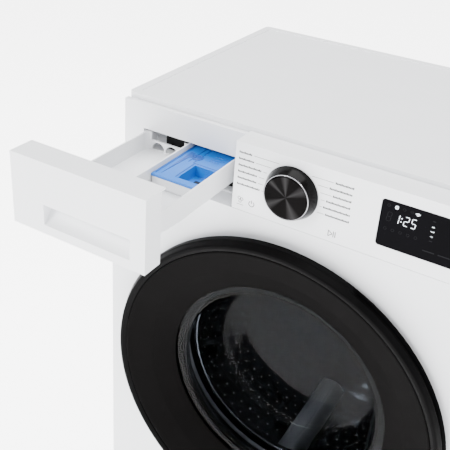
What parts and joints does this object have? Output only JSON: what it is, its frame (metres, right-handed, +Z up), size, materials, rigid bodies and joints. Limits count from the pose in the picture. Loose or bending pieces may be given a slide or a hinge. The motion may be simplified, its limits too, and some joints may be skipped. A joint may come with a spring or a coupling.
{
  "type": "front load washing machine",
  "caption": "Front load washing machine with a round door, programme knob, display and a pull-out detergent drawer; drum, tub, pump and feet inside move.",
  "frame": {"origin": "on the floor under the middle of the whole outline, drawer out; the cabinet's own middle is 90 mm behind it", "axes": "+Z up, the door and drawer face -Y, +X to the right seen from the front"},
  "size_m": [0.6, 0.704, 0.85],
  "materials": {
    "white_steel": "gloss",
    "white_plastic": "gloss",
    "black_gloss": "gloss",
    "dark_satin": "satin",
    "glass_clear": "polished",
    "display_glass": "polished",
    "galvanised": "satin",
    "stainless": "satin",
    "knob_black": "satin",
    "knob_metal": "spun",
    "tub_grey": "moulded",
    "rubber_grey": "matt",
    "rubber_black": "matt",
    "concrete": "rough",
    "cast_alloy": "cast",
    "bearing_steel": "ground",
    "blue_plastic": "moulded",
    "circuit_green": "matt",
    "black_plastic": "moulded",
    "brass_thread": "moulded",
    "copper_coil": "varnished"
  },
  "bodies": {
    "cabinet": {"cabinet_shell": "white_steel", "base_pan": "tub_grey", "front_panel": "white_steel", "rear_cover": "galvanised", "cabinet_screws": "bearing_steel", "top_plate": "white_plastic", "control_panel": "white_plastic", "display_window": "display_glass", "display_board": "circuit_green", "front_crossmember": "galvanised", "knob_encoder": "black_plastic", "dispenser_housing": "white_plastic", "water_distributor": "tub_grey", "inlet_valve": "brass_thread", "fill_hose": "rubber_black", "detergent_hose": "rubber_black", "control_box": "tub_grey", "door_lock": "black_plastic", "cord_gland": "black_plastic", "foot_locknuts": "bearing_steel", "drain_pump": "tub_grey", "drain_pipe": "tub_grey", "sump_hose": "rubber_black", "hinge_bracket": "cast_alloy", "door_gasket": "rubber_grey", "damper_cylinders": "black_plastic", "suspension_springs": "bearing_steel"},
    "tub": {"tub_front": "tub_grey", "tub_rear": "tub_grey", "front_counterweight": "concrete", "top_counterweight": "concrete", "heater": "stainless", "drum_bearings": "bearing_steel", "stator": "copper_coil", "damper_rods": "bearing_steel"},
    "drum": {"drum_shell": "stainless", "drum_front_ring": "stainless", "drum_back": "stainless", "drum_spider": "cast_alloy", "drum_shaft": "bearing_steel", "drum_lifters": "tub_grey", "rotor": "galvanised"},
    "door": {"door_frame": "black_gloss", "door_trim_ring": "dark_satin", "door_glass": "glass_clear", "door_inner_ring": "black_plastic", "hinge_leaf": "cast_alloy"},
    "latch": {"latch_hook": "cast_alloy"},
    "drawer": {"drawer_front": "white_plastic", "drawer_tray": "white_plastic", "siphon_insert": "blue_plastic"},
    "knob": {"knob_body": "knob_black", "knob_disc": "knob_metal"},
    "impeller": {"pump_impeller": "black_plastic"},
    "filter": {"drain_filter": "black_plastic"},
    "flap": {"filter_flap": "white_plastic"},
    "foot_fl": {"foot_front_left": "rubber_black"},
    "foot_fr": {"foot_front_right": "rubber_black"},
    "foot_rl": {"foot_rear_left": "rubber_black"},
    "foot_rr": {"foot_rear_right": "rubber_black"}
  },
  "joints": [
    {"name": "drawer_slide", "type": "slide", "parent": "cabinet", "child": "drawer", "axis": [0, -1, 0], "range_m": [-0.202, 0.018]},
    {"name": "knob_turn", "type": "hinge", "parent": "cabinet", "child": "knob", "pos_m": [-0.004, -0.16, 0.794], "axis": [0, -1, 0], "continuous": true},
    {"name": "door_swing", "type": "hinge", "parent": "cabinet", "child": "door", "pos_m": [-0.254, -0.17, 0.448], "axis": [0, 0, -1], "range_deg": [0, 130]},
    {"name": "latch_turn", "type": "hinge", "parent": "door", "child": "latch", "pos_m": [0.23, -0.1593, 0.448], "axis": [0, 0, 1], "range_deg": [0, 7], "stiffness_Nm_per_rad": 0.4, "springref_deg": -8.59},
    {"name": "tub_float", "type": "slide", "parent": "cabinet", "child": "tub", "axis": [0, 0, 1], "range_m": [-0.008, 0.008], "stiffness_N_per_m": 12000, "springref_m": 0.02935, "deforming": ["door_gasket", "detergent_hose", "sump_hose", "suspension_springs"]},
    {"name": "drum_spin", "type": "hinge", "parent": "tub", "child": "drum", "pos_m": [0, 0.21, 0.448], "axis": [0, -1, 0], "continuous": true},
    {"name": "impeller_spin", "type": "hinge", "parent": "cabinet", "child": "impeller", "pos_m": [0.225, -0.05, 0.085], "axis": [0, -1, 0], "continuous": true},
    {"name": "filter_turn", "type": "hinge", "parent": "cabinet", "child": "filter", "pos_m": [0.225, -0.13, 0.085], "axis": [0, -1, 0], "range_deg": [-120, 0]},
    {"name": "flap_swing", "type": "hinge", "parent": "cabinet", "child": "flap", "pos_m": [0.225, -0.1468, 0.044], "axis": [1, 0, 0], "range_deg": [0, 85]},
    {"name": "foot_fl_extend", "type": "slide", "parent": "cabinet", "child": "foot_fl", "axis": [0, 0, -1], "range_m": [0, 0.012]},
    {"name": "foot_fr_extend", "type": "slide", "parent": "cabinet", "child": "foot_fr", "axis": [0, 0, -1], "range_m": [0, 0.012]},
    {"name": "foot_rl_extend", "type": "slide", "parent": "cabinet", "child": "foot_rl", "axis": [0, 0, -1], "range_m": [0, 0.012]},
    {"name": "foot_rr_extend", "type": "slide", "parent": "cabinet", "child": "foot_rr", "axis": [0, 0, -1], "range_m": [0, 0.012]}
  ]
}
